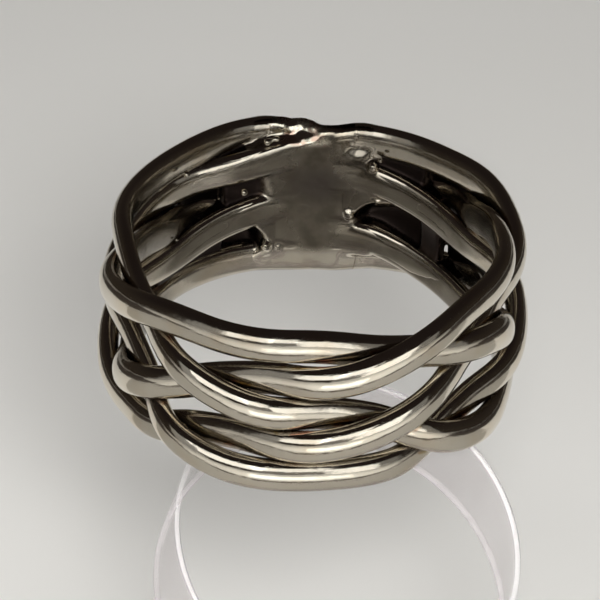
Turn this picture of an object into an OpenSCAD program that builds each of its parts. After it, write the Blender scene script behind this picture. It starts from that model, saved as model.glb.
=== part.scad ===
// A braided finger ring on a clear display stand.
// Five half-round silver strands are plaited flat round the finger, and their ends are soldered
// together at the back. The ring's axis is upright, its front is towards -Y, and the origin is
// under the middle of the finger hole, on the surface that the stand rests on.
// Angles round the ring are counted from its front, and grow towards +X.

/* [Ring] */
// Diameter of the finger hole, across the filed inner faces
bore_d = 18.9; // [18.6:0.1:19.2]
// Height of the ring's middle above the hoop that it rests on
ring_above_hoop = 3.9; // [3.8:0.1:4.4]

/* [Braid] */
// Width of a strand
strand_w = 1.8; // [1.7:0.05:1.9]
// Thickness of a strand before its inner face is filed
strand_t = 1.2; // [1:0.05:1.2]
// How much is filed off a strand where it touches the finger
filed = 0.17; // [0.1:0.01:0.2]
// Air between two strands where they cross
crossing_gap = 0.06; // [0.04:0.01:0.08]
// Distance between neighbouring lanes of the braid
lane_pitch = 2; // [1.95:0.01:2.05]
// How steeply a strand runs through a crossing, against its mean slope there
swing = 1.2; // [1:0.05:1.4]
// How steeply it runs in a lane, against its mean slope there
rest = 0.4; // [0:0.05:1]

/* [Soldered back] */
// Angle from the ring's front to the end of each strand
seam_angle = 166; // [164:1:168]
// Height of the soldered back
seam_h = 9.6; // [9:0.1:9.8]
// Thickness of the soldered back
seam_t = 2.1; // [1.8:0.05:2.3]
// Bevel along its outer edges
outer_bevel = 0.6; // [0.3:0.05:0.8]
// Bevel along its inner edges
inner_bevel = 0.25; // [0.1:0.05:0.4]

/* [Stand] */
// Outer width of the upright oval hoop
hoop_width = 19.9; // [19.4:0.1:20.2]
// Outer height of the hoop
hoop_height = 23.4; // [22:0.1:25]
// Width of the hoop's clear strip
hoop_w = 5.4; // [5:0.1:5.6]
// Thickness of the hoop's clear strip
hoop_t = 0.9; // [0.7:0.1:1]
// Angle by which the hoop is turned from the ring's front
hoop_turn = 11; // [9:1:13]
// Length and depth of the base plate
base_size = [26, 20]; // [20:1:30]
// Thickness of the base plate
base_t = 3.2; // [3:0.1:4]

/* [Hidden] */

SILVER = [0.78, 0.76, 0.72];
SOLDER = [0.7, 0.68, 0.64];
CLEAR = [0.85, 0.88, 0.95, 0.4];

bore_r = bore_d / 2;
middle_r = bore_r + strand_t - filed + crossing_gap / 2;
layer_step = (strand_t + crossing_gap) / 2;

// The lanes are numbered from the top rim, and the middle one runs at the ring's mid height.
LANES = 5;
MIDDLE_LANE = 3;

// At each column of the braid two pairs of neighbouring lanes swap. The columns are counted from
// the soldered back, round the left side, the front and the right side to the soldered back.
// An even column swaps lanes 1 and 2, and 3 and 4. An odd one swaps lanes 2 and 3, and 4 and 5.
// upper angle, upper height, lower angle, lower height, height of the rim strand that stays
COLUMNS = [
    [-180, 3.6, -150, -0.7, -3.8],
    [-114, 1.1, -87, -3.1, 4.1],
    [-67, 3.0, -60, -1.5, -4.1],
    [-28, 0.9, -41, -3.1, 4.0],
    [22, 3.0, 19, -1.1, -4.0],
    [63, 1.5, 42, -3.1, 4.15],
    [108, 3.2, 88, -1.0, -3.9],
    [143, 1.2, 135, -3.2, 4.1]
];
UPPER_ANGLE = 0;
UPPER_HEIGHT = 1;
LOWER_ANGLE = 2;
LOWER_HEIGHT = 3;
RIM_HEIGHT = 4;

// Share of the way between two crossings in which a strand stays in its layer, at each end
dwell = 0.35;
// The strands' curves start and end behind the seam, at these angles, where this share of a
// layer's offset is left
curve_start = -190;
curve_end = 175;
end_layer = 0.7;
// Angle between a strand's end and the soldered back
end_gap = 0.3;
// Steps along a strand, and sides of its section
STEPS = 84;
SIDES = 12;

// The hoop is let into the base plate by this depth
hoop_sink = 0.5;
hoop_centre = [1.65, -4.5, base_t - hoop_sink + hoop_height / 2];
base_back = 4;
base_centre = [1.5, base_back - base_size[1] / 2];
base_corner_r = 2;

// Height of the ring's middle above the surface
ring_z = hoop_centre[2] + hoop_height / 2 + ring_above_hoop;

// Height of a lane's middle, from the ring's mid height
function lane_height(lane) = (MIDDLE_LANE - lane) * lane_pitch;

// A rim lane has no neighbour to swap with in every other column
function stays(lane, column) = column % 2 == 0 ? lane == LANES : lane == 1;
function goes_down(lane, column) = (lane + column) % 2 == 1;
function next_lane(lane, column) =
    stays(lane, column) ? lane : goes_down(lane, column) ? lane + 1 : lane - 1;

// In an even column the rising strand lies outside, in an odd one the falling strand
function layer(lane, column) =
    stays(lane, column) ? 0 : goes_down(lane, column) == (column % 2 == 1) ? 1 : -1;

// The lanes that a strand holds before, between and after the columns
function lanes_from(lane, column = 0) =
    column == len(COLUMNS) ? [lane] : concat([lane], lanes_from(next_lane(lane, column), column + 1));

// The height and angle of a lane's crossing in a column, in the upper or lower of its two pairs
function is_upper(lane, column) = min(lane, next_lane(lane, column)) <= 2;
function angle_of(lane, column) =
    COLUMNS[column][is_upper(lane, column) ? UPPER_ANGLE : LOWER_ANGLE];
function height_of(lane, column) =
    COLUMNS[column][stays(lane, column) ? RIM_HEIGHT
                    : is_upper(lane, column) ? UPPER_HEIGHT : LOWER_HEIGHT];

// What a strand passes at each column: angle, height and layer
function passings(lanes) =
    [for (column = [0 : len(COLUMNS) - 1]) let (lane = lanes[column])
        [angle_of(lane, column), height_of(lane, column), layer(lane, column)]];

// Halfway between two columns it runs in its lane. On a rim that is as high as where it stays.
function lane_point(a, b) =
    [(a[0] + b[0]) / 2, a[2] == 0 ? a[1] : b[2] == 0 ? b[1] : (a[1] + b[1]) / 2, 0];

// Both in turn, from one side of the soldered back to the other
function heights(lanes) =
    let (passed = passings(lanes), last = len(passed) - 1)
    concat([[curve_start, lane_height(lanes[0]), 0]],
           [for (i = [0 : last - 1]) each [passed[i], lane_point(passed[i], passed[i + 1])]],
           [passed[last], [curve_end, lane_height(lanes[last + 1]), 0]]);

// Where its ends are soldered a strand is still out of the middle layer
function layers(lanes) =
    let (passed = passings(lanes), last = passed[len(passed) - 1])
    concat([[curve_start, 0, end_layer * passed[0][2]]], passed,
           [[curve_end, 0, end_layer * last[2]]]);

function clamp(value, low, high) = max(low, min(high, value));
function smooth(share) = share * share * (3 - 2 * share);

// Slope of a strand's height at one of its points: steep in a crossing, gentle in a lane
function slope(points, i) =
    let (a = points[max(i - 1, 0)], b = points[min(i + 1, len(points) - 1)])
    i == 0 || i == len(points) - 1 ? 0
        : (points[i][2] == 0 ? rest : swing) * (b[1] - a[1]) / (b[0] - a[0]);

// The stretch between two points in which an angle lies
function stretch(points, angle, i = 0) =
    i == len(points) - 2 || angle < points[i + 1][0] ? i : stretch(points, angle, i + 1);

// A strand's height at an angle, on a smooth curve through the points
function height_at(points, angle) =
    let (i = stretch(points, angle), a = points[i], b = points[i + 1], run = b[0] - a[0],
         s = (angle - a[0]) / run, s2 = s * s, s3 = s2 * s)
    (2 * s3 - 3 * s2 + 1) * a[1] + (s3 - 2 * s2 + s) * run * slope(points, i)
    + (3 * s2 - 2 * s3) * b[1] + (s3 - s2) * run * slope(points, i + 1);

// A strand's radius at an angle: it moves from layer to layer between the crossings
function radius_at(points, angle) =
    let (i = stretch(points, angle), a = points[i], b = points[i + 1],
         share = clamp(((angle - a[0]) / (b[0] - a[0]) - dwell) / (1 - 2 * dwell), 0, 1))
    middle_r + layer_step * (a[2] + (b[2] - a[2]) * smooth(share));

function on_ring(angle, radius, height) = [radius * sin(angle), -radius * cos(angle), height];
function centre_at(lanes, angle) =
    on_ring(angle, radius_at(layers(lanes), angle), height_at(heights(lanes), angle));

// A half-round section: a domed outer side and a flat inner side with rounded corners.
// across the strand, outwards
widest = -0.2 * strand_t;
function section_point(turn) =
    let (c = cos(turn), s = sin(turn), square = s > 0 ? 0.9 : 0.5)
    [sign(c) * pow(abs(c), square) * strand_w / 2,
     s > 0 ? widest + (strand_t / 2 - widest) * s : widest - (widest + strand_t / 2) * pow(-s, 0.6)];
SECTION = [for (side = [0 : SIDES - 1]) section_point((side + 0.5) * 360 / SIDES)];

// One ring of points round a strand, no closer to the finger than the bore. It is square to the
// strand's path, or upright at a cut end.
function ring_at(lanes, angle, cut) =
    let (centre = centre_at(lanes, angle), radius = norm([centre[0], centre[1]]),
         along = centre_at(lanes, angle + 0.5) - centre_at(lanes, angle - 0.5),
         out = on_ring(angle, 1, 0), across = cut ? [0, 0, 1] : cross(out, along),
         side = across / norm(across))
    [for (p = SECTION) centre + p[0] * side + max(p[1], bore_r - radius) * out];

function rings(lanes) =
    [for (i = [0 : STEPS])
        ring_at(lanes, (seam_angle - end_gap) * (2 * i / STEPS - 1), i == 0 || i == STEPS)];

module strand(first_lane) {
    corners = [for (ring = rings(lanes_from(first_lane))) each ring];
    walls = [for (i = [0 : STEPS - 1], j = [0 : SIDES - 1])
        let (k = (j + 1) % SIDES, a = i * SIDES, b = a + SIDES)
        each [[a + j, b + k, a + k], [a + j, b + j, b + k]]];
    start_cap = [for (j = [0 : SIDES - 1]) j];
    end_cap = [for (j = [SIDES - 1 : -1 : 0]) STEPS * SIDES + j];
    translate([0, 0, ring_z])
        polyhedron(corners, concat(walls, [start_cap, end_cap]));
}

// Each strand is named by its place at the ring's front, from the top, and starts in another lane
module strand_a() { color(SILVER) strand(4); }
module strand_b() { color(SILVER) strand(5); }
module strand_c() { color(SILVER) strand(2); }
module strand_d() { color(SILVER) strand(3); }
module strand_e() { color(SILVER) strand(1); }

module soldered_back() {
    half = seam_h / 2;
    outer = bore_r + seam_t;
    arc = 2 * (180 - seam_angle);
    color(SOLDER)
    translate([0, 0, ring_z])
    rotate([0, 0, 90 - arc / 2])
    rotate_extrude(angle = arc, $fn = 96)
        polygon([for (up = [-1, 1]) each
            let (corners = [[bore_r, inner_bevel - half], [bore_r + inner_bevel, -half],
                            [outer - outer_bevel, -half], [outer, outer_bevel - half]])
            up < 0 ? corners : [for (i = [3 : -1 : 0]) [corners[i][0], -corners[i][1]]]]);
}

module hoop() {
    half = [hoop_width, hoop_height] / 2;
    translate(hoop_centre)
    rotate([90, 0, -hoop_turn])
    linear_extrude(hoop_w, center = true)
        difference() {
            scale(half) circle(1, $fn = 96);
            scale(half - [hoop_t, hoop_t]) circle(1, $fn = 96);
        }
}

module base_plate() {
    translate([base_centre[0], base_centre[1], 0])
    linear_extrude(base_t) {
        square([base_size[0] - 2 * base_corner_r, base_size[1]], center = true);
        square([base_size[0], base_size[1] - 2 * base_corner_r], center = true);
        for (x = [-1, 1], y = [-1, 1])
            translate([x * (base_size[0] / 2 - base_corner_r), y * (base_size[1] / 2 - base_corner_r)])
                circle(base_corner_r, $fn = 48);
    }
}

module clear_stand() {
    color(CLEAR) {
        hoop();
        base_plate();
    }
}

strand_a();
strand_b();
strand_c();
strand_d();
strand_e();
soldered_back();
clear_stand();
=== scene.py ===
"""A braided silver finger ring on a clear display stand.

Five half-round strands are plaited flat round the finger hole and soldered together at the back.
The pieces are made in millimetres about the ring's middle and moved to the CAD model's place.
Angles round the ring are in degrees from its front and grow towards the right. The joint's turns
are counted from the back's middle instead, negative at its left, and away grows from there on
either side. A side is -1 for the left and 1 for the right.
"""
import math

import bmesh
import bpy
import numpy as np
from mathutils import Matrix, Vector, noise
from mathutils.bvhtree import BVHTree


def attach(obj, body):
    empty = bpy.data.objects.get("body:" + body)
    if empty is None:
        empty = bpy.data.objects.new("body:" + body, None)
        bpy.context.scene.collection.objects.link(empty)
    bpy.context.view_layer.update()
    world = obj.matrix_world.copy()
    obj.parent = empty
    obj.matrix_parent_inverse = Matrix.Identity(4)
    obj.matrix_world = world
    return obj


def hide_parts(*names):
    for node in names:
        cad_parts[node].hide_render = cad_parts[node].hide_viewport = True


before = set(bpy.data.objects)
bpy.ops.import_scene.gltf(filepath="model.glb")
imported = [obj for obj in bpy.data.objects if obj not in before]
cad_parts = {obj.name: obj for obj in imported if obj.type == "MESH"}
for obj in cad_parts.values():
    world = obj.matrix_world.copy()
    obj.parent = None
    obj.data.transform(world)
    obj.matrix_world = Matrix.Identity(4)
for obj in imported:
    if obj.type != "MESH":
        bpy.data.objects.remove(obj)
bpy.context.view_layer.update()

MM = 0.001
# Height of the ring's middle over the floor, radius of the finger hole, radius over the strands
RING_MIDDLE = 30.0
BORE = 9.45
OUTSIDE = 11.7

# A strand's width and thickness in the CAD model, and how much the finger hole takes off it
STRAND_WIDTH, STRAND_THICKNESS, FILED = 1.8, 1.2, 0.17
# How far over half its thickness its outer face is domed, and how far under it the inner is flat
DOMED, FLATTENED = 0.05, 0.08
# The width that shows, at which neighbours touch
SHOWN_WIDTH = 1.94
# Radius of the band's middle, and how far a strand leaves it where it passes another
MIDDLE_RADIUS = BORE + STRAND_THICKNESS - FILED + 0.03
LAYER_STEP = 0.63

# The braid's lanes are counted from the top down, and each strand starts in one of its own
LANE_PITCH, LANES = 2.0, 5
FIRST_LANES = {"strand_a": 4, "strand_b": 5, "strand_c": 2, "strand_d": 3, "strand_e": 1}
# Columns in which neighbouring lanes swap:
# upper angle, upper height, lower angle, lower height, height of the rim strand that stays
COLUMNS = [
    (-180, 3.6, -150, -0.7, -3.8),
    (-114, 1.1, -87, -3.1, 4.1),
    (-67, 3.0, -60, -1.5, -4.1),
    (-28, 0.9, -41, -3.1, 4.0),
    (22, 3.0, 19, -1.1, -4.0),
    (63, 1.5, 42, -3.1, 4.15),
    (108, 3.2, 88, -1.0, -3.9),
    (143, 1.2, 135, -3.2, 4.1),
]
# Angles at which a path starts and ends, unseen in the joint, and its layer there
CURVE_START, CURVE_END, END_LAYER = -190, 175, 0.7
# How steep a path is at a crossing and at a rest, as a share of the mean slope there
SWING, REST = 1.2, 0.4
# A strand changes layer in the middle part of the way between two crossings
DWELL = 0.24
# Angle at which the strands end, and how finely their lines are divided
STRAND_END, STRAND_STEPS = 167.5, 400

# Degrees from the back's middle at which the strands' ends are known, on either side
AWAY = np.linspace(-5, 70, 151)
# Where the solder between neighbouring strands begins to sink below the inner wall, and where it
# ends, in degrees from the back's middle, from the top gap to the bottom one, left and right
FLUSH = {-1: (12, 15, 16, 17), 1: (18, 21, 14, 20)}
REACH = {-1: (44, 45, 30, 60), 1: (54, 36, 68, 44)}
# Heights of the rims' strands where they meet
TOP_LEVEL, BOTTOM_LEVEL = 4.06, -3.7
# Size of the strands' ends by degrees from the back's middle, and where they leave the joint
END_ANGLES, END_SIZES, ENDS_LEAVE = (0, 12, 17, 21, 26, 70), (1.0, 1.03, 1.04, 0.99, 0.9, 0.85), 30
# The joint's half-width over its outer strands' middles, and where its two sides run together
EDGE, MEETING = 0.96, 3.5
# Drops of solder: angle, height, size
DROPS = [(196.0, 4.3, 0.26), (193.0, 4.45, 0.22), (227.5, 3.8, 0.24), (204.2, 1.24, 0.27),
         (233.2, -0.04, 0.16), (196.2, -2.7, 0.36), (192.0, -2.85, 0.22), (157.3, 3.45, 0.2),
         (160.1, 2.87, 0.32), (168.2, -0.53, 0.4)]
# A depth past every strand, and a distance past every gap
FAR = 9.0


# The strands' paths

def smooth_step(share):
    """0 below 0 and 1 above 1, with a soft start and end between them."""
    share = np.clip(share, 0, 1)
    return share * share * (3 - 2 * share)


def on_circle(radius, angle, height):
    turn = math.radians(angle)
    return radius * math.sin(turn), -radius * math.cos(turn), height


def lane_height(lane):
    return (3 - lane) * LANE_PITCH


def passings(first_lane):
    """Angle, height and layer of a strand at each column, and its last lane."""
    lane, passed = first_lane, []
    for column, (upper, upper_z, lower, lower_z, rim_z) in enumerate(COLUMNS):
        even = column % 2 == 0
        stays = lane == LANES if even else lane == 1
        falls = (lane + column) % 2 == 1
        following = lane if stays else lane + 1 if falls else lane - 1
        in_upper = min(lane, following) <= 2
        height = rim_z if stays else upper_z if in_upper else lower_z
        layer = 0 if stays else 1 if falls != even else -1
        passed.append((upper if in_upper else lower, height, layer))
        lane = following
    return passed, lane


def height_points(first_lane):
    """The passings with a rest between them, for a strand's height."""
    passed, last_lane = passings(first_lane)
    points = [(CURVE_START, lane_height(first_lane), 0)]
    for here, ahead in zip(passed, passed[1:]):
        rest_z = (here[1] if here[2] == 0 else ahead[1] if ahead[2] == 0
                  else (here[1] + ahead[1]) / 2)
        points += [here, ((here[0] + ahead[0]) / 2, rest_z, 0)]
    return points + [passed[-1], (CURVE_END, lane_height(last_lane), 0)]


def layer_points(first_lane):
    """The passings and both ends, for a strand's layer."""
    passed, _ = passings(first_lane)
    return ([(CURVE_START, 0, END_LAYER * passed[0][2])] + passed
            + [(CURVE_END, 0, END_LAYER * passed[-1][2])])


def stretch_at(points, angle):
    """Number of the stretch between two points that an angle lies in."""
    for i, (stretch_end, _, _) in enumerate(points[1:-1]):
        if angle < stretch_end:
            return i
    return len(points) - 2


def slope_at(points, i):
    """Height that a path gains in a degree at one of its points."""
    if i in (0, len(points) - 1):
        return 0
    before, after = points[i - 1], points[i + 1]
    steepness = REST if points[i][2] == 0 else SWING
    return steepness * (after[1] - before[1]) / (after[0] - before[0])


def height_at(points, angle):
    """Height at an angle, on a curve that has its slope at each point."""
    i = stretch_at(points, angle)
    (start, start_z, _), (end, end_z, _) = points[i:i + 2]
    run = end - start
    share = (angle - start) / run
    return ((2 * share**3 - 3 * share**2 + 1) * start_z
            + (share**3 - 2 * share**2 + share) * run * slope_at(points, i)
            + (3 * share**2 - 2 * share**3) * end_z
            + (share**3 - share**2) * run * slope_at(points, i + 1))


def radius_at(points, angle):
    """Radius at an angle, by the layers of the points before and after it."""
    i = stretch_at(points, angle)
    (start, _, start_layer), (end, _, end_layer) = points[i:i + 2]
    share = ((angle - start) / (end - start) - DWELL) / (1 - 2 * DWELL)
    share = min(max(share, 0), 1)
    return MIDDLE_RADIUS + LAYER_STEP * (start_layer + (end_layer - start_layer)
                                         * share * share * (3 - 2 * share))


def path(first_lane, start, end, steps, soften=5.5, margin=16):
    """Points along a strand, with its bends softened over a few degrees."""
    angles = np.arange(start - margin, end + margin + 1, 1.0)
    layers, levels = layer_points(first_lane), height_points(first_lane)
    radii = [radius_at(layers, angle) for angle in angles]
    heights = [height_at(levels, angle) for angle in angles]
    weight = np.exp(-np.arange(-margin, margin + 1) ** 2 / (2 * soften**2))
    weight /= weight.sum()
    radii, heights = np.convolve(radii, weight, "same"), np.convolve(heights, weight, "same")
    shown = np.linspace(start, end, steps + 1)
    return [on_circle(radius, angle, height)
            for angle, radius, height in zip(shown, np.interp(shown, angles, radii),
                                             np.interp(shown, angles, heights))]


def drawn_in(points):
    """A strand's points, drawn in to the inner wall and levelled near the back's middle."""
    x, y, z = np.array(points).T
    depth, away = np.hypot(x, y) - BORE, np.degrees(np.arctan2(np.abs(x), y))
    top = z > 0
    # The upper strands draw in from 15 to 5 degrees, the lower ones from 19 to 5
    share = smooth_step(np.where(top, (15 - away) / 10, (19 - away) / 14))
    least_depth, most_drawn = 0.48, np.where(top, 0.62, 1.1)
    nearer = np.clip(depth - least_depth, 0, most_drawn) * share
    ratio = 1 - nearer / (BORE + depth)
    # The rims' strands lie outside the others, and meet at one level with a small step at the top
    on_rim = (depth > 1) & (np.abs(z) > 2.9)
    level = np.where(top, TOP_LEVEL - np.sign(x) * 0.05, BOTTOM_LEVEL)
    return np.stack([x * ratio, y * ratio, z + np.where(on_rim, (level - z) * share, 0)], axis=1)


# Node graphs, written as expressions

class Value:
    """A number's socket in a node graph, for sums on it."""

    def __init__(self, graph, socket):
        self.graph, self.socket = graph, socket

    def __add__(self, other):
        return self.graph.maths("ADD", self, other)

    def __sub__(self, other):
        return self.graph.maths("SUBTRACT", self, other)

    def __mul__(self, other):
        return self.graph.maths("MULTIPLY", self, other)

    def __truediv__(self, other):
        return self.graph.maths("DIVIDE", self, other)

    def __pow__(self, other):
        return self.graph.maths("POWER", self, other)

    def __rsub__(self, other):
        return self.graph.maths("SUBTRACT", other, self)

    def __rtruediv__(self, other):
        return self.graph.maths("DIVIDE", other, self)

    def __neg__(self):
        return self * -1

    __radd__ = __add__
    __rmul__ = __mul__


class Graph:
    """Adds nodes to a tree, for shaders and geometry alike."""

    def __init__(self, tree):
        self.tree = tree

    def node(self, kind, settings=None, inputs=None):
        node = self.tree.nodes.new(kind)
        for name, setting in (settings or {}).items():
            setattr(node, name, setting)
        for name, given in (inputs or {}).items():
            if isinstance(given, Value):
                self.tree.links.new(given.socket, node.inputs[name])
            else:
                node.inputs[name].default_value = given
        return node

    def get(self, kind, settings=None, inputs=None, output=0):
        return Value(self, self.node(kind, settings, inputs).outputs[output])

    def maths(self, operation, *numbers):
        return self.get("ShaderNodeMath", {"operation": operation}, dict(enumerate(numbers)))

    def vector(self, operation, *vectors, output=0):
        return self.get("ShaderNodeVectorMath", {"operation": operation}, dict(enumerate(vectors)),
                        output)

    def split(self, vector):
        parts = self.node("ShaderNodeSeparateXYZ", None, {0: vector})
        return [Value(self, part) for part in parts.outputs]

    def join(self, x, y, z):
        return self.get("ShaderNodeCombineXYZ", None, {0: x, 1: y, 2: z})

    def mark(self, name):
        """A value that is stored on the piece's points."""
        return self.get("ShaderNodeAttribute", {"attribute_name": name}, output="Fac")

    def rise(self, number, low, high):
        """0 at low and 1 at high, with a soft start and end."""
        return self.get("ShaderNodeMapRange", {"interpolation_type": "SMOOTHSTEP"},
                        {0: number, 1: low, 2: high, 3: 0.0, 4: 1.0})

    def larger(self, a, b):
        return self.maths("MAXIMUM", a, b)

    def smaller(self, a, b):
        return self.maths("MINIMUM", a, b)

    def blend(self, share, a, b):
        """One colour over another by a share. Sockets 6 and 7 are the node's colours."""
        return self.get("ShaderNodeMix", {"data_type": "RGBA"}, {0: share, 6: a, 7: b}, 2)

    def noise(self, place, scale, detail=2.0, roughness=0.5):
        return self.get("ShaderNodeTexNoise", None,
                        {"Vector": place, "Scale": scale, "Detail": detail, "Roughness": roughness},
                        "Fac" if self.tree.type == "SHADER" else 0)

    def bump(self, height, distance, strength=1.0, under=None):
        inputs = {"Height": height, "Distance": distance, "Strength": strength}
        if under is not None:
            inputs["Normal"] = under
        return self.get("ShaderNodeBump", None, inputs)


# Finishes

def colour(red, green, blue):
    return (red, green, blue, 1.0)


# Colours. A name that holds a pair is blended between the two by clouds or blotches
POLISHED = colour(0.69, 0.64, 0.545), colour(0.66, 0.58, 0.46)
# Filed metal, dull and also darkened as painted shade inside the ring
FILED_DULL_SHADED = colour(0.13, 0.114, 0.088), colour(0.085, 0.07, 0.052)
STAINS = colour(0.56, 0.42, 0.17), colour(0.58, 0.27, 0.19)
# The first is tarnish, and the second is near-black painted shade for the deep gaps between the
# joint's strands
TARNISH, DEEP_GAP_SHADE = colour(0.10, 0.07, 0.05), colour(0.022, 0.016, 0.014)
SOLDER = colour(0.10, 0.085, 0.065), colour(0.055, 0.046, 0.034)
SOLDER_PATCH, SOLDER_SEAM = colour(0.06, 0.05, 0.045), colour(0.055, 0.045, 0.036)
# Painted highlight: paler and pinker colours for the crumpled top
CRUMPLED_HIGHLIGHT = colour(0.80, 0.76, 0.62), colour(0.68, 0.48, 0.38)
# The clear plastic's faint tint, and near white for its painted edge highlights
CLEAR_FACE, CLEAR_EDGE_HIGHLIGHT = colour(0.62, 0.54, 0.58), colour(0.98, 0.97, 0.97)
FLOOR = colour(0.75, 0.738, 0.712), colour(0.78, 0.768, 0.745)
# Middle of the solder's dark patch, and how much its distances count sideways, deep and upwards
PATCH_MIDDLE, PATCH_SCALE = (0.3, BORE, 1.3), (0.5, 0.1, 0.62)


def shader(name):
    """A new material, its graph, and the place in millimetres from the ring's middle."""
    material = bpy.data.materials.new(name)
    material.use_nodes = True
    material.node_tree.nodes.clear()
    graph = Graph(material.node_tree)
    place = graph.get("ShaderNodeMapping", None,
                      {"Vector": graph.get("ShaderNodeTexCoord", output="Object"),
                       "Location": (0, 0, -RING_MIDDLE), "Scale": (1 / MM, 1 / MM, 1 / MM)})
    return material, graph, place


def finish_shader(graph, inputs):
    surface = graph.get("ShaderNodeBsdfPrincipled", None, inputs)
    graph.node("ShaderNodeOutputMaterial", None, {"Surface": surface})


def uneven_marks(graph, place):
    """Wide clouds, blotches, and fine speckle."""
    return (graph.noise(place, 0.45, 3.0), graph.noise(place, 1.1, 2.0),
            graph.noise(place, 3.5, 4.0, 0.6))


def filed_inside(graph, depth):
    """How much of the inner face is filed dull and darkened as painted shade: less of it deeper in
    the wall.
    """
    return graph.mark("inner") * (1 - graph.rise(depth, 0.2, 0.6) * 0.6)


def bare_silver(graph, cloud, inner):
    """The metal's colour: polished, or dull where it is filed and darkened there as painted shade
    inside the ring.
    """
    polished = graph.blend(graph.rise(cloud, 0.45, 0.75), *POLISHED)
    filed = graph.blend(graph.rise(cloud, 0.35, 0.7), *FILED_DULL_SHADED)
    return graph.blend(inner * 0.92, polished, filed)


def faint_tarnish(graph, depth):
    """A little tarnish, which grows with the depth in the ring's wall."""
    return graph.rise(depth, 0.15, 0.7) * 0.12


def speckled(graph, tarnish, speckle):
    """Tarnish that speckle makes uneven, 1 at most."""
    return graph.smaller(tarnish * (0.6 + speckle * 0.8), 1.0)


def finish_silver(graph, place, base, roughness, normal):
    """Joins up a silver shader, with the soft waves of a surface that is bent by hand."""
    normal = graph.bump(graph.noise(place, 0.9, 2.0), 0.03 * MM, 0.6, normal)
    finish_shader(graph, {"Base Color": base, "Metallic": 1.0, "Roughness": roughness,
                          "Normal": normal})


def silver_roughness(graph, speckle, inner, tarnish):
    return 0.085 + graph.rise(speckle, 0.4, 0.75) * 0.05 + inner * 0.13 + tarnish * 0.20


def polished_silver():
    """The strands: polished outside, filed dull and darkened as painted shade inside, tarnished and
    stained at crossings.
    """
    material, graph, place = shader("polished silver")
    cloud, blotch, speckle = uneven_marks(graph, place)
    crevice, depth = graph.mark("crevice"), graph.mark("depth")
    inner = filed_inside(graph, depth)
    tarnish = speckled(graph, graph.larger(crevice * 1.1, faint_tarnish(graph, depth)), speckle)
    # Yellow and pink stains beside the crevices
    stained = (graph.rise(crevice, 0.04, 0.3) * (1 - graph.rise(crevice, 0.35, 0.8))
               * graph.rise(blotch, 0.5, 0.62))
    base = graph.blend(stained * 0.7, bare_silver(graph, cloud, inner),
                       graph.blend(graph.rise(cloud, 0.45, 0.6), *STAINS))
    base = graph.blend(tarnish, base, TARNISH)
    # Fine scratches along the strand
    drawn_out = graph.join(graph.mark("along") * 0.35, graph.mark("around") * 14.0, 0.0)
    scratches = graph.rise(graph.noise(drawn_out, 2.2, 5.0, 0.7), 0.52, 0.7)
    finish_silver(graph, place, base, silver_roughness(graph, speckle, inner, tarnish),
                  graph.bump(scratches, 0.003 * MM, 0.5))
    return material


def filed_solder():
    """The joint: strands' ends filed dull, dark solder between them, painted shade inside and deep
    between the ends, and a crumpled top painted pale as a highlight.
    """
    material, graph, place = shader("filed silver solder")
    cloud, blotch, speckle = uneven_marks(graph, place)
    depth, joined, between, seam, crumpled = [
        graph.mark(name) for name in ("depth", "joined", "between", "seam", "crumpled")]
    # The crumpled patch and the lower rim are less dull and carry less painted shade
    _, _, height = graph.split(place)
    inner = (filed_inside(graph, depth) * (1 - crumpled * 0.8)
             * (1 - graph.rise(-height, 2.7, 3.4) * 0.7))
    # Painted shade: solder sunk deep between the strands' ends is darkened with the tarnish colour
    # and then near black, as shadowed gaps
    sunken_shade = graph.rise(depth, 0.16, 0.45) * between * 0.95
    tarnish = speckled(graph, graph.larger(faint_tarnish(graph, depth), sunken_shade), speckle)
    base = graph.blend(tarnish, bare_silver(graph, cloud, inner), TARNISH)
    base = graph.blend(graph.rise(depth, 0.25, 0.6) * between, base, DEEP_GAP_SHADE)
    # Dull solder where the ends run together, darkest in one patch
    base = graph.blend(inner * joined * 0.7, base,
                       graph.blend(graph.rise(blotch, 0.4, 0.65), *SOLDER))
    offset = graph.vector("MULTIPLY", graph.vector("SUBTRACT", place, PATCH_MIDDLE), PATCH_SCALE)
    from_patch = graph.vector("LENGTH", offset, output=1) + (blotch - 0.5) * 1.2
    base = graph.blend(inner * (1 - graph.rise(from_patch, 0.2, 1.2)) * 0.7, base, SOLDER_PATCH)
    # Painted highlight: the crumpled top is paler and pinker, as where it catches the light
    base = graph.blend(crumpled * 0.8, base,
                       graph.blend(graph.rise(blotch, 0.5, 0.6), *CRUMPLED_HIGHLIGHT))
    base = graph.blend(seam * inner * 0.45, base, SOLDER_SEAM)
    roughness = (silver_roughness(graph, speckle, inner, tarnish)
                 + joined * (0.06 + speckle * 0.14))
    finish_silver(graph, place, base, roughness,
                  graph.bump(speckle * joined * 0.6 - seam * 3, 0.02 * MM, 0.8))
    return material


def clear_plastic():
    """Clear strip and plate, with faint streaks of painted reflection, and painted highlights that
    whiten the cut edges and where it is seen edge on.
    """
    material, graph, place = shader("clear plastic")
    edge = graph.mark("edge")
    facing = graph.get("ShaderNodeLayerWeight", None, {0: 0.25}, output="Facing")
    streak = graph.noise(place, 0.25, 3.0)
    # Painted highlights and reflections: more opaque and whiter at the cut edges, where seen edge
    # on, and in faint streaks
    alpha = graph.smaller(0.07 + streak * 0.07 + edge * 0.8 + facing * facing * 0.3, 1.0)
    finish_shader(graph, {"Base Color": graph.blend(edge, CLEAR_FACE, CLEAR_EDGE_HIGHLIGHT),
                          "Metallic": 0.0, "Roughness": 0.05 + streak * 0.1, "Alpha": alpha,
                          "IOR": 1.49})
    return material


def pale_floor():
    material, graph, place = shader("pale floor")
    base = graph.blend(graph.noise(place, 0.01, 2.0), *FLOOR)
    finish_shader(graph, {"Base Color": base, "Roughness": 0.75})
    return material


# Making pieces

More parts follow.
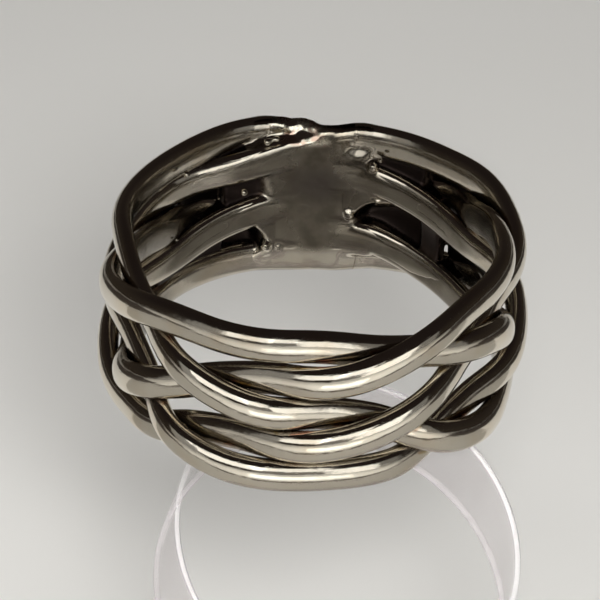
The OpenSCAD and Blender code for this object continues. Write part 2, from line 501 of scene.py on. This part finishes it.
def new_object(name, points, faces=(), edges=()):
    mesh = bpy.data.meshes.new(name)
    mesh.from_pydata(points, edges, faces)
    mesh.update()
    piece = bpy.data.objects.new(name, mesh)
    bpy.context.scene.collection.objects.link(piece)
    return piece


def settle(piece):
    """Replaces a piece's modifiers by the mesh that they make."""
    bpy.context.view_layer.update()
    shaped = piece.evaluated_get(bpy.context.evaluated_depsgraph_get())
    mesh = bpy.data.meshes.new_from_object(shaped)
    piece.modifiers.clear()
    piece.data = mesh


def place_piece(piece):
    """Moves a piece from millimetres about the ring's middle to its place in the model."""
    piece.data.transform(Matrix.Diagonal((MM, MM, MM, 1)) @ Matrix.Translation((0, 0, RING_MIDDLE)))
    piece.data.update()


def face_outwards(piece):
    shape = bmesh.new()
    shape.from_mesh(piece.data)
    bmesh.ops.recalc_face_normals(shape, faces=shape.faces)
    shape.to_mesh(piece.data)
    shape.free()


def smooth_by_angle(piece, angle):
    """Smooth shading over soft bends, and sharp edges where faces turn by more than an angle."""
    piece.data.shade_smooth()
    piece.data.set_sharp_from_angle(angle=math.radians(angle))


def row_faces(rows, columns, closed):
    """Faces between rows of points that each close on themselves, and as a loop if closed."""
    faces = []
    for row in range(rows if closed else rows - 1):
        here, ahead = columns * row, columns * ((row + 1) % rows)
        faces += [(here + i, here + (i + 1) % columns, ahead + (i + 1) % columns, ahead + i)
                  for i in range(columns)]
    return faces


def store(piece, name, values):
    piece.data.attributes.new(name, "FLOAT", "POINT").data.foreach_set("value", values)


def points_of(piece):
    """Places and normals of a piece's points."""
    places, normals = np.empty((2, len(piece.data.vertices) * 3))
    piece.data.vertices.foreach_get("co", places)
    piece.data.vertices.foreach_get("normal", normals)
    return places.reshape(-1, 3), normals.reshape(-1, 3)


def facing_out(places, normals):
    """1 where a point faces away from the ring's axis and -1 where it faces it."""
    return (places[:, :2] * normals[:, :2]).sum(axis=1) / np.hypot(places[:, 0], places[:, 1])


def mark_depth(piece, low=0.89, wide=0.09):
    """Stores which points face inwards, and how deep each lies in the ring's wall."""
    places, normals = points_of(piece)
    radius = np.hypot(places[:, 0], places[:, 1])
    store(piece, "inner", np.clip((-facing_out(places, normals) - low) / wide, 0, 1))
    store(piece, "depth", np.clip(np.minimum(radius - BORE, OUTSIDE - radius), 0, 3))


# The strands

def half_round_section(graph, width, thickness, corners=44, squareness=0.92):
    """A strand's section, domed at the outside and flatter inside, marked by the way round it."""
    circle = graph.get("GeometryNodeCurvePrimitiveCircle", {"mode": "RADIUS"}, {0: corners, 4: 1.0})
    around_x, around_y, _ = graph.split(graph.get("GeometryNodeInputPosition"))
    across = (graph.maths("SIGN", around_x) * graph.maths("ABSOLUTE", around_x) ** squareness
              * width / 2)
    domed = (thickness / 2 + DOMED) * graph.larger(around_y, 0.0)
    flat = (thickness / 2 - FLATTENED) * graph.larger(-around_y, 0.0)
    section = graph.get("GeometryNodeSetPosition", None,
                        {0: circle, "Position": graph.join(domed - flat, across, 0.0)})
    return graph.get("GeometryNodeStoreNamedAttribute", {"data_type": "FLOAT"},
                     {0: section, "Name": "around",
                      "Value": graph.get("GeometryNodeSplineParameter", output="Factor")})


def sweep_tree(material):
    """A geometry tree that sweeps a half-round section along a line, and files its inner face."""
    tree = bpy.data.node_groups.new("half-round strand", "GeometryNodeTree")
    sockets = tree.interface
    sockets.new_socket("Path", in_out="INPUT", socket_type="NodeSocketGeometry")
    for name, default in (("Width", STRAND_WIDTH), ("Thickness", STRAND_THICKNESS),
                          ("Finger hole radius", BORE), ("Filed edge", 0.6),
                          ("Unevenness", 0.02), ("Seed", 0.0)):
        size = sockets.new_socket(name, in_out="INPUT", socket_type="NodeSocketFloat")
        size.default_value = default
    sockets.new_socket("Strand", in_out="OUTPUT", socket_type="NodeSocketGeometry")
    graph = Graph(tree)
    given = {socket.name: Value(graph, socket) for socket in graph.node("NodeGroupInput").outputs
             if socket.name}

    line = graph.get("GeometryNodeMeshToCurve", None, {0: given["Path"]})
    line = graph.get("GeometryNodeSetCurveNormal", {"mode": "Z_UP"}, {0: line})
    line = graph.get("GeometryNodeSetCurveRadius", None,
                     {0: line, "Radius": graph.get("GeometryNodeInputNamedAttribute",
                                                   {"data_type": "FLOAT"}, {0: "fullness"})})
    line = graph.get("GeometryNodeStoreNamedAttribute", {"data_type": "FLOAT"},
                     {0: line, "Name": "along",
                      "Value": graph.get("GeometryNodeSplineParameter", output="Length")})
    section = half_round_section(graph, given["Width"], given["Thickness"])
    wire = graph.get("GeometryNodeCurveToMesh", None,
                     {0: line, "Profile Curve": section, "Fill Caps": True})
    wire = graph.get("GeometryNodeFlipFaces", None, {0: wire})

    # Unevenness pushes the points in and out, and filing moves those inside the hole out to it
    place = graph.get("GeometryNodeInputPosition")
    uneven = graph.noise(graph.vector("ADD", place, graph.join(given["Seed"], 0.0, 0.0)), 0.4, 1.0)
    push = graph.get("ShaderNodeVectorMath", {"operation": "SCALE"},
                     {0: graph.get("GeometryNodeInputNormal"),
                      "Scale": (uneven - 0.5) * given["Unevenness"]})
    wire = graph.get("GeometryNodeSetPosition", None, {0: wire, "Offset": push})
    x, y, z = graph.split(place)
    radius = graph.maths("SQRT", x * x + y * y)
    filed = graph.maths("SMOOTH_MAX", radius, given["Finger hole radius"], given["Filed edge"])
    ratio = filed / radius
    wire = graph.get("GeometryNodeSetPosition", None,
                     {0: wire, "Position": graph.join(x * ratio, y * ratio, z)})

    wire = graph.get("GeometryNodeSetShadeSmooth", None, {0: wire})
    wire = graph.get("GeometryNodeRealizeInstances", None, {0: wire})
    wire = graph.get("GeometryNodeSetMaterial", None, {0: wire, "Material": material})
    graph.node("NodeGroupOutput", None, {0: wire})
    return tree


def swept_strand(name, tree, points, fullness, **sizes):
    """A strand along a line of points, with its size at each of them and the tree's other sizes."""
    strand = new_object(name, points, edges=[(i, i + 1) for i in range(len(points) - 1)])
    store(strand, "fullness", fullness.astype(np.float32))
    modifier = strand.modifiers.new("sweep", "NODES")
    modifier.node_group = tree
    for socket in tree.interface.items_tree:
        if socket.in_out == "INPUT" and socket.name in sizes:
            modifier[socket.identifier] = sizes[socket.name]
    settle(strand)
    return strand


def silver_strands(material):
    """The five strands, each down to three quarters of its size over its last 9 degrees."""
    tree = sweep_tree(material)
    to_end = STRAND_END - np.abs(np.linspace(-1, 1, STRAND_STEPS + 1)) * STRAND_END
    fullness = np.interp(to_end, (0, 9), (0.75, 1.0))
    strands = []
    for order, (node, first_lane) in enumerate(FIRST_LANES.items()):
        line = drawn_in(path(first_lane, -STRAND_END, STRAND_END, STRAND_STEPS))
        strands.append(swept_strand(node + "_wire", tree, line, fullness, Seed=order * 40.0,
                                    Width=SHOWN_WIDTH))
    return strands


def mark_crevices(strands, reach=0.45):
    """Stores how close each point of a strand lies to the strand that passes it."""
    trees = {}
    for strand in strands:
        trees[strand.name] = BVHTree.FromPolygons(
            [vertex.co for vertex in strand.data.vertices],
            [face.vertices for face in strand.data.polygons])
    for strand in strands:
        near = []
        for vertex in strand.data.vertices:
            gap = reach
            for name, tree in trees.items():
                if name != strand.name:
                    hit = tree.find_nearest(vertex.co, gap)
                    gap = min(gap, hit[3]) if hit[0] is not None else gap
            near.append((1 - gap / reach) ** 1.5)
        store(strand, "crevice", near)


# The soldered joint

def back_lines(side):
    """Depths and heights of the strands at all of AWAY's angles."""
    ends = (-185, -110) if side < 0 else (110, 185)
    lines = [drawn_in(path(first_lane, *ends, len(AWAY) - 1))[::-side]
             for first_lane in FIRST_LANES.values()]
    return [(np.hypot(line[:, 0], line[:, 1]) - BORE, line[:, 2]) for line in lines]


# The strands' lines into the joint, by side
BACK = {side: back_lines(side) for side in (-1, 1)}


def strands_at(side, away):
    """Heights and depths of the strands at one angle, from the top one down."""
    return sorted(((np.interp(away, AWAY, height), np.interp(away, AWAY, depth))
                   for depth, height in BACK[side]), reverse=True)


def filed_wall(strands, away, heights):
    """Depth of the filed inner wall, which runs out to the rims' strands at its edges."""
    # It lies 0.1 mm inside the finger hole's in the middle, and 0.12 mm outside from 14 degrees on
    wall = -0.1 + 0.22 * smooth_step((away - 1) / 13)
    # It goes over to the rims' strands over 1.3 mm at the top and 0.8 mm at the bottom
    for (height, depth), way, wide in ((strands[0], 1, 1.3), (strands[-1], -1, 0.8)):
        share = smooth_step((wide - way * (height - heights)) / wide) * smooth_step(away / 14)
        wall = wall + (max(depth - 0.5, 0) - wall) * share
    return wall


def solder_at(upper, lower, flush, away, heights, wall):
    """Depths of the inner and outer face of the solder between two strands."""
    (high, high_depth), (low, low_depth) = upper, lower
    across = (high - heights) / max(high - low, 0.1)
    # The solder sinks first in the middle of the gap, and bulges outwards where the gap is wide
    sunk = smooth_step((away - flush - 6 * (2 * across - 1) ** 2 + 3) / 7)
    bulge = 0.35 * np.sin(np.pi * np.clip(across, 0, 1)) * smooth_step(high - low - 1.9) * sunk
    middle = high_depth + (low_depth - high_depth) * across + bulge
    # Sunken solder lies 0.2 mm to either side of the strands' middle, and is 0.4 mm thick or more
    face = wall + (middle - 0.2 - wall) * sunk
    return face, np.maximum(middle + 0.45 - 0.25 * sunk, face + 0.4)


def walls_at(side, away, heights):
    """Depths of the joint's inner and outer face at one angle, and where it is solid."""
    inner, outer = np.full(len(heights), FAR), np.full(len(heights), -FAR)
    solid = np.zeros(len(heights), bool)
    strands = strands_at(side, away)
    size = np.interp(away, END_ANGLES, END_SIZES)
    for i, (height, depth) in enumerate(strands):
        # The top and bottom strand reach out to the joint's edges
        lowest, highest = -1 if i == LANES - 1 else -2, 1 if i == 0 else 2
        across = np.clip((heights - height) / (SHOWN_WIDTH / 2 * size), lowest, highest)
        arch = size * np.sqrt(np.clip(1 - across**2, 0, 1))
        here = np.abs(across) <= 1
        inner[here] = np.minimum(inner, depth - (STRAND_THICKNESS / 2 - FLATTENED) * arch)[here]
        outer[here] = np.maximum(outer, depth + (STRAND_THICKNESS / 2 + DOMED) * arch)[here]
        solid |= here & (away < ENDS_LEAVE)
    wall = filed_wall(strands, away, heights)
    for upper, lower, flush, reach in zip(strands, strands[1:], FLUSH[side], REACH[side]):
        here = (heights <= upper[0]) & (heights >= lower[0]) & (away < reach)
        face, back = solder_at(upper, lower, flush, away, heights, wall)
        inner[here] = np.minimum(inner, face)[here]
        outer[here] = np.maximum(outer, back)[here]
        solid |= here
    return inner, outer, solid


def joint_walls(turns, rows):
    """Points of the joint's inner and outer wall, and where it is solid between them."""
    walls, solid = np.zeros((2, len(turns), rows, 3)), np.zeros((len(turns), rows), bool)
    # The rows lie closer together towards the edges, which are rounder
    spread = np.linspace(0, 1, rows)
    spread = 0.6 * spread + 0.4 * (0.5 - 0.5 * np.cos(np.pi * spread))
    for i, turn in enumerate(turns):
        right = smooth_step((turn + MEETING) / (2 * MEETING))
        share = {1: right, -1: 1 - right}
        sides = [side for side in (-1, 1) if share[side] > 0]
        edges = {side: (strands_at(side, turn * side)[-1][0] - EDGE,
                        strands_at(side, turn * side)[0][0] + EDGE) for side in sides}
        low, high = (sum(edges[side][end] * share[side] for side in sides) for end in (0, 1))
        heights = low + (high - low) * spread
        found = {side: walls_at(side, turn * side, heights) for side in sides}
        solid[i] = np.any([found[side][2] for side in sides], axis=0)
        for layer in (0, 1):
            radius = BORE + sum(found[side][layer] * share[side] for side in sides)
            walls[layer, i] = np.stack([radius * math.sin(math.radians(turn)),
                                        radius * math.cos(math.radians(turn)), heights], axis=1)
    return walls, solid


def joint_shell(rows=120):
    """Corners and faces of the solid between the joint's inner and outer wall."""
    # Every half degree, just past the furthest reach of the solder
    turns = np.arange(-68.5, 69, 0.5)
    walls, solid = joint_walls(turns, rows)
    filled = solid[:-1, :-1] & solid[1:, :-1] & solid[:-1, 1:] & solid[1:, 1:]
    filled = np.pad(filled, 1)

    def corner(layer, i, j):
        return (layer * len(turns) + i) * rows + j

    faces = []
    for i, j in zip(*np.nonzero(filled[1:-1, 1:-1])):
        a, b, c, d = (i, j), (i + 1, j), (i + 1, j + 1), (i, j + 1)
        faces += [(corner(0, *a), corner(0, *d), corner(0, *c), corner(0, *b)),
                  (corner(1, *a), corner(1, *b), corner(1, *c), corner(1, *d))]
        # A side face closes the solid where the square beside this one is empty
        for start, end, beside in ((a, b, (i + 1, j)), (b, c, (i + 2, j + 1)),
                                   (c, d, (i + 1, j + 2)), (d, a, (i, j + 1))):
            if not filled[beside]:
                faces.append((corner(0, *start), corner(0, *end), corner(1, *end),
                              corner(1, *start)))
    return [tuple(point) for point in walls.reshape(-1, 3)], faces


def drop_middle(angle, height, size):
    """A drop stands out of the inner wall by nearly half its size."""
    return on_circle(BORE + size * 0.55, angle, height)


def drop(angle, height, size):
    """Corners and faces of a round drop of solder on the inner wall."""
    shape = bmesh.new()
    bmesh.ops.create_icosphere(shape, subdivisions=2, radius=size)
    bmesh.ops.translate(shape, verts=shape.verts, vec=drop_middle(angle, height, size))
    points = [tuple(vertex.co) for vertex in shape.verts]
    faces = [tuple(vertex.index for vertex in face.verts) for face in shape.faces]
    shape.free()
    return points, faces


def soldered_joint(material):
    """The strands' ends run together at the back, with solder between them."""
    points, faces = [], []
    for part_points, part_faces in [joint_shell()] + [drop(*place) for place in DROPS]:
        faces += [tuple(len(points) + i for i in face) for face in part_faces]
        points += part_points
    joint = new_object("soldered_joint", points, faces)
    # One skin over the shell and its drops, with its steps smoothed away
    fuse = joint.modifiers.new("fuse", "REMESH")
    fuse.mode, fuse.voxel_size, fuse.use_smooth_shade = "VOXEL", 0.095, True
    soften = joint.modifiers.new("soften", "SMOOTH")
    soften.factor, soften.iterations = 0.5, 12
    settle(joint)
    file_and_dent(joint)
    joint.data.materials.append(material)
    return joint


def solder_between(places, normals, turns):
    """1 on the solder between the strands' ends and 0 on the ends, weaker on the outside."""
    away = np.abs(turns)
    apart_inside, apart_outside = np.full((2, len(places)), FAR)
    for side in (-1, 1):
        for depth, height in BACK[side]:
            on_side = turns * side > 0
            # Inside, a strand's end shows where it lies near the wall or is a rim's
            shown = (np.interp(away, AWAY, depth) < 1.2) | (np.abs(height.mean()) > 3.3)
            inside = on_side & shown & (away < 22)
            gap = np.abs(places[:, 2] - np.interp(away, AWAY, height))
            apart_inside = np.where(inside, np.minimum(apart_inside, gap), apart_inside)
            apart_outside = np.where(on_side, np.minimum(apart_outside, gap), apart_outside)
    outside = smooth_step((facing_out(places, normals) + 0.1) / 0.5)
    return (smooth_step((apart_inside - 0.7) / 0.3) * (1 - outside)
            + smooth_step((apart_outside - 0.6) / 0.4) * outside * 0.75)


def ripple(places, scale, shift=(0, 0, 0)):
    """Soft noise from -1 to 1 at each place."""
    return np.array([noise.noise(Vector(place) * scale + Vector(shift)) for place in places])


def file_wall(places, away, dents):
    """Moves points that lie inside the wall out to it, with a soft edge. Drops stand clear."""
    radius = np.hypot(places[:, 0], places[:, 1])
    # The wall lies 0.02 mm inside the finger hole's, and runs out by 0.06 mm from 20 to 30 degrees
    wall = BORE - 0.02 + np.clip(away - 20, 0, 10) * 0.006 + dents * 0.5
    for angle, height, size in DROPS:
        from_drop = np.linalg.norm(places - drop_middle(angle, height, size), axis=1)
        wall -= 0.3 * (from_drop < size * 1.15)
    depth, soft = radius - wall, 0.05
    filed = wall + (depth + np.sqrt(depth**2 + soft**2)) / 2
    places[:, :2] *= (filed / radius)[:, None]


def file_and_dent(joint):
    """Files the joint's inner wall, dents it, and marks where it is solder."""
    places, normals = points_of(joint)
    turns = np.degrees(np.arctan2(places[:, 0], places[:, 1]))
    away, height = np.abs(turns), places[:, 2].copy()
    between = solder_between(places, normals, turns)
    dents = ripple(places, 1.4) * 0.05 + ripple(places, 3.1) * 0.02
    # The ends run together round a place just over the middle, and seams show on either side
    joined = 1 - smooth_step((away + np.abs(height - 0.6) * 2.6 + dents * 60 - 7) / 11)
    seam = between * smooth_step((away - 4) / 4) * (1 - smooth_step((away - 15) / 6))
    # The top is crumpled a little left of the middle
    crumpled = (np.clip(1 - np.hypot(places[:, 0] + 0.9, (height - 4.4) * 1.5) / 1.9, 0, 1)
                * smooth_step((height - 3.75) / 0.5))
    creases = ripple(places, 1.7, (7, 3, 1)) * 0.12
    places += normals * (dents * joined + creases * crumpled)[:, None]
    file_wall(places, away, dents * joined)
    joint.data.vertices.foreach_set("co", places.ravel())
    joint.data.update()
    mark_depth(joint, 0.82, 0.13)
    store(joint, "joined", joined)
    store(joint, "between", between)
    store(joint, "seam", seam)
    store(joint, "crumpled", np.clip(crumpled * 1.9, 0, 1))


# The clear stand

def hoop_strip():
    """The upright oval hoop: a thin clear strip, bent round, with cut edges that shine with painted
    highlights.
    """
    half_across, half_up, thick, wide, turn = 9.95, 11.7, 0.3, 5.4, math.radians(11)
    centre, steps = Vector((1.65, -4.5, 14.4 - RING_MIDDLE)), 240
    # Width and depth round the strip's section, with chamfered corners and a band at each edge
    half, chamfer, band = wide / 2, 0.06, 0.35
    section = [(-half, chamfer), (chamfer - half, 0), (band - half, 0), (0, 0), (half - band, 0),
               (half - chamfer, 0), (half, chamfer), (half, thick - chamfer),
               (half - chamfer, thick), (half - band, thick), (0, thick), (band - half, thick),
               (chamfer - half, thick), (-half, thick - chamfer)]
    points, edge = [], []
    for i in range(steps):
        bend = 2 * math.pi * i / steps
        out = Vector((half_up * math.cos(bend), 0, half_across * math.sin(bend))).normalized()
        wall = Vector((half_across * math.cos(bend), 0, half_up * math.sin(bend)))
        for width, depth in section:
            spot = wall - out * depth
            spot.y = width
            points.append(centre + Vector((spot.x * math.cos(turn) + spot.y * math.sin(turn),
                                           spot.y * math.cos(turn) - spot.x * math.sin(turn),
                                           spot.z)))
            # Painted highlight: the cut edge at the back is bright, the one at the front less so
            edge.append(1.0 if width > half - 0.1 else 0.25 if width < 0.1 - half else 0.0)
    strip = new_object("hoop_strip", points, row_faces(steps, len(section), closed=True))
    store(strip, "edge", edge)
    return strip


def base_plate():
    """The clear base: a plate with rounded corners and polished bevels, its edges brightened with
    painted highlights.
    """
    half_long, half_deep, thick, corner, bevel = 13.0, 10.0, 3.2, 2.0, 0.25
    middle_x, middle_y, corner_steps = 1.5, -6.0, 8
    outline = []
    for quarter, (x_way, y_way) in enumerate(((1, 1), (-1, 1), (-1, -1), (1, -1))):
        for step in range(corner_steps + 1):
            turn = math.radians(90 * quarter + 90 * step / corner_steps)
            outline.append((x_way * (half_long - corner), y_way * (half_deep - corner),
                            math.cos(turn), math.sin(turn)))
    # Rings of points from the underside, just clear of the floor, to the top: inset, height, and
    # how bright the painted highlight on the edge is there
    rings = [(bevel, 0.03, 0.1), (0.0, bevel, 0.35), (0.0, thick - bevel, 0.35),
             (bevel, thick, 0.7), (2 * bevel, thick, 0.0)]
    points, edge = [], []
    for inset, height, bright in rings:
        for x, y, round_x, round_y in outline:
            points.append((middle_x + x + round_x * (corner - inset),
                           middle_y + y + round_y * (corner - inset), height - RING_MIDDLE))
            edge.append(bright)
    count = len(outline)
    last = count * (len(rings) - 1)
    faces = row_faces(len(rings), count, closed=False)
    faces += [tuple(range(count - 1, -1, -1)), tuple(range(last, last + count))]
    plate = new_object("base_plate", points, faces)
    store(plate, "edge", edge)
    return plate


# Floor, light and camera

def floor():
    """A floor of 4 by 4 metres."""
    ground = new_object("floor", [(-2, -2, 0), (2, -2, 0), (2, 2, 0), (-2, 2, 0)], [(0, 1, 2, 3)])
    ground.data.materials.append(pale_floor())


def soft_light(name, azimuth, elevation, distance, size, brightness, reflected=True):
    """A soft panel of one brightness that looks at the ring from a direction."""
    turn, climb = math.radians(azimuth), math.radians(elevation)
    way = Vector((math.sin(turn) * math.cos(climb), -math.cos(turn) * math.cos(climb),
                  math.sin(climb)))
    light = bpy.data.lights.new(name, "AREA")
    light.shape, light.size, light.size_y = "RECTANGLE", size[0], size[1]
    light.energy = brightness * math.pi * size[0] * size[1]
    light.color = (1.0, 1.0, 0.985)
    panel = bpy.data.objects.new(name, light)
    panel.location = Vector((0, 0, RING_MIDDLE * MM)) + way * distance
    panel.rotation_euler = way.to_track_quat("Z", "Y").to_euler()
    panel.visible_camera = False
    panel.visible_glossy = reflected
    bpy.context.scene.collection.objects.link(panel)


def card(name, shade, front, back, height, left=-100, right=100):
    """A sheet on the floor, in millimetres from the ring's middle, that only reflections show:
    painted shade round the ring for the silver to reflect.
    """
    points = [(left, front, height), (right, front, height), (right, back, height),
              (left, back, height)]
    sheet = new_object(name, [tuple(Vector(point) * MM) for point in points], [(0, 1, 2, 3)])
    material, graph, _ = shader(name)
    finish_shader(graph, {"Base Color": shade, "Roughness": 0.9})
    sheet.data.materials.append(material)
    sheet.visible_camera = sheet.visible_diffuse = sheet.visible_shadow = False


def room():
    """A dim warm room round the ring, darker overhead."""
    world = bpy.data.worlds.new("dim room")
    bpy.context.scene.world = world
    world.use_nodes = True
    world.node_tree.nodes.clear()
    graph = Graph(world.node_tree)
    _, _, up = graph.split(graph.get("ShaderNodeTexCoord", output="Generated"))
    low_wall, overhead = colour(0.030, 0.024, 0.019), colour(0.016, 0.012, 0.011)
    tint = graph.blend(graph.rise(up, 0.0, 0.8), low_wall, overhead)
    glow = graph.get("ShaderNodeBackground", None, {"Color": tint, "Strength": 1.0})
    graph.node("ShaderNodeOutputWorld", None, {"Surface": glow})


def camera():
    """The photograph's view: 34.3 degrees down from the front, 20 cm from the ring's middle."""
    down, roll, distance = math.radians(34.3), math.radians(0.94), 0.2
    # In the photograph's pixels: its width, the focal length, and where it shows the ring's middle,
    # right of its own middle and above it
    wide_px, focal_px, right_px, above_px = 600, 3666, 12.3, 1
    middle = Vector((0, 0, RING_MIDDLE * MM))
    eye = middle + distance * Vector((0, -math.cos(down), math.sin(down)))
    right = Vector((1, 0, 0))
    up = right.cross((middle - eye).normalized())
    right, up = (math.cos(roll) * right + math.sin(roll) * up,
                 -math.sin(roll) * right + math.cos(roll) * up)
    aim = middle + distance * (-right_px / focal_px * right - above_px / focal_px * up)
    back = (eye - aim).normalized()
    right = up.cross(back).normalized()
    up = back.cross(right)
    data = bpy.data.cameras.new("camera")
    data.sensor_width, data.lens = 36, 36 * focal_px / wide_px
    data.clip_start, data.clip_end = 0.01, 20
    view = bpy.data.objects.new("camera", data)
    view.matrix_world = Matrix.Translation(eye) @ Matrix((right, up, back)).transposed().to_4x4()
    bpy.context.scene.collection.objects.link(view)
    bpy.context.scene.camera = view


# The ring, its stand, and the room round them

silver = polished_silver()
solder = filed_solder()
clear = clear_plastic()

strands = silver_strands(silver)
mark_crevices(strands)
joint = soldered_joint(solder)
for strand in strands:
    mark_depth(strand)
place_piece(joint)
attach(joint, "root")
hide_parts("soldered_back")
for strand, node in zip(strands, FIRST_LANES):
    place_piece(strand)
    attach(strand, "root")
    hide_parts(node)

for piece in (hoop_strip(), base_plate()):
    face_outwards(piece)
    smooth_by_angle(piece, 50)
    piece.data.materials.append(clear)
    place_piece(piece)
    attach(piece, "root")
    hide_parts("clear_stand")

floor()
room()
# Lights: azimuth, elevation, distance and size in metres, brightness
soft_light("left window", -27, 24, 0.5, (0.32, 0.25), 1.4)
soft_light("middle window", 0, 27, 0.5, (0.20, 0.20), 1.4)
soft_light("right window", 25, 8, 0.5, (0.24, 0.30), 1.5)
soft_light("dim wall", -2, 5, 0.3, (0.12, 0.12), 0.2)
soft_light("left wall", -53, 15, 0.6, (0.18, 0.40), 0.26)
soft_light("right wall", 50, 10, 0.6, (0.22, 0.40), 0.2)
soft_light("white card", 2, -22, 0.07, (0.044, 0.020), 0.9)
soft_light("floor light", 7, 38, 0.16, (0.036, 0.036), 56, reflected=False)
soft_light("ceiling light", -30, 80, 1.2, (0.9, 0.9), 3.0, reflected=False)
# Cards: shade, front and back edge, height over the floor, left and right edge
# Painted shade: the dark and grey cards stand for shaded floor before and beside the ring, seen
# only in the silver
card("dark card", colour(0.08, 0.07, 0.06), -50, -42, 0.6)
card("grey card", colour(0.40, 0.39, 0.37), -42, 8, 0.3)
card("left card", colour(0.07, 0.06, 0.055), -60, 250, 0.9, -500, -85)
card("right card", colour(0.07, 0.06, 0.055), -60, 250, 0.9, 85, 500)
camera()
bpy.context.scene.view_settings.view_transform = "Standard"
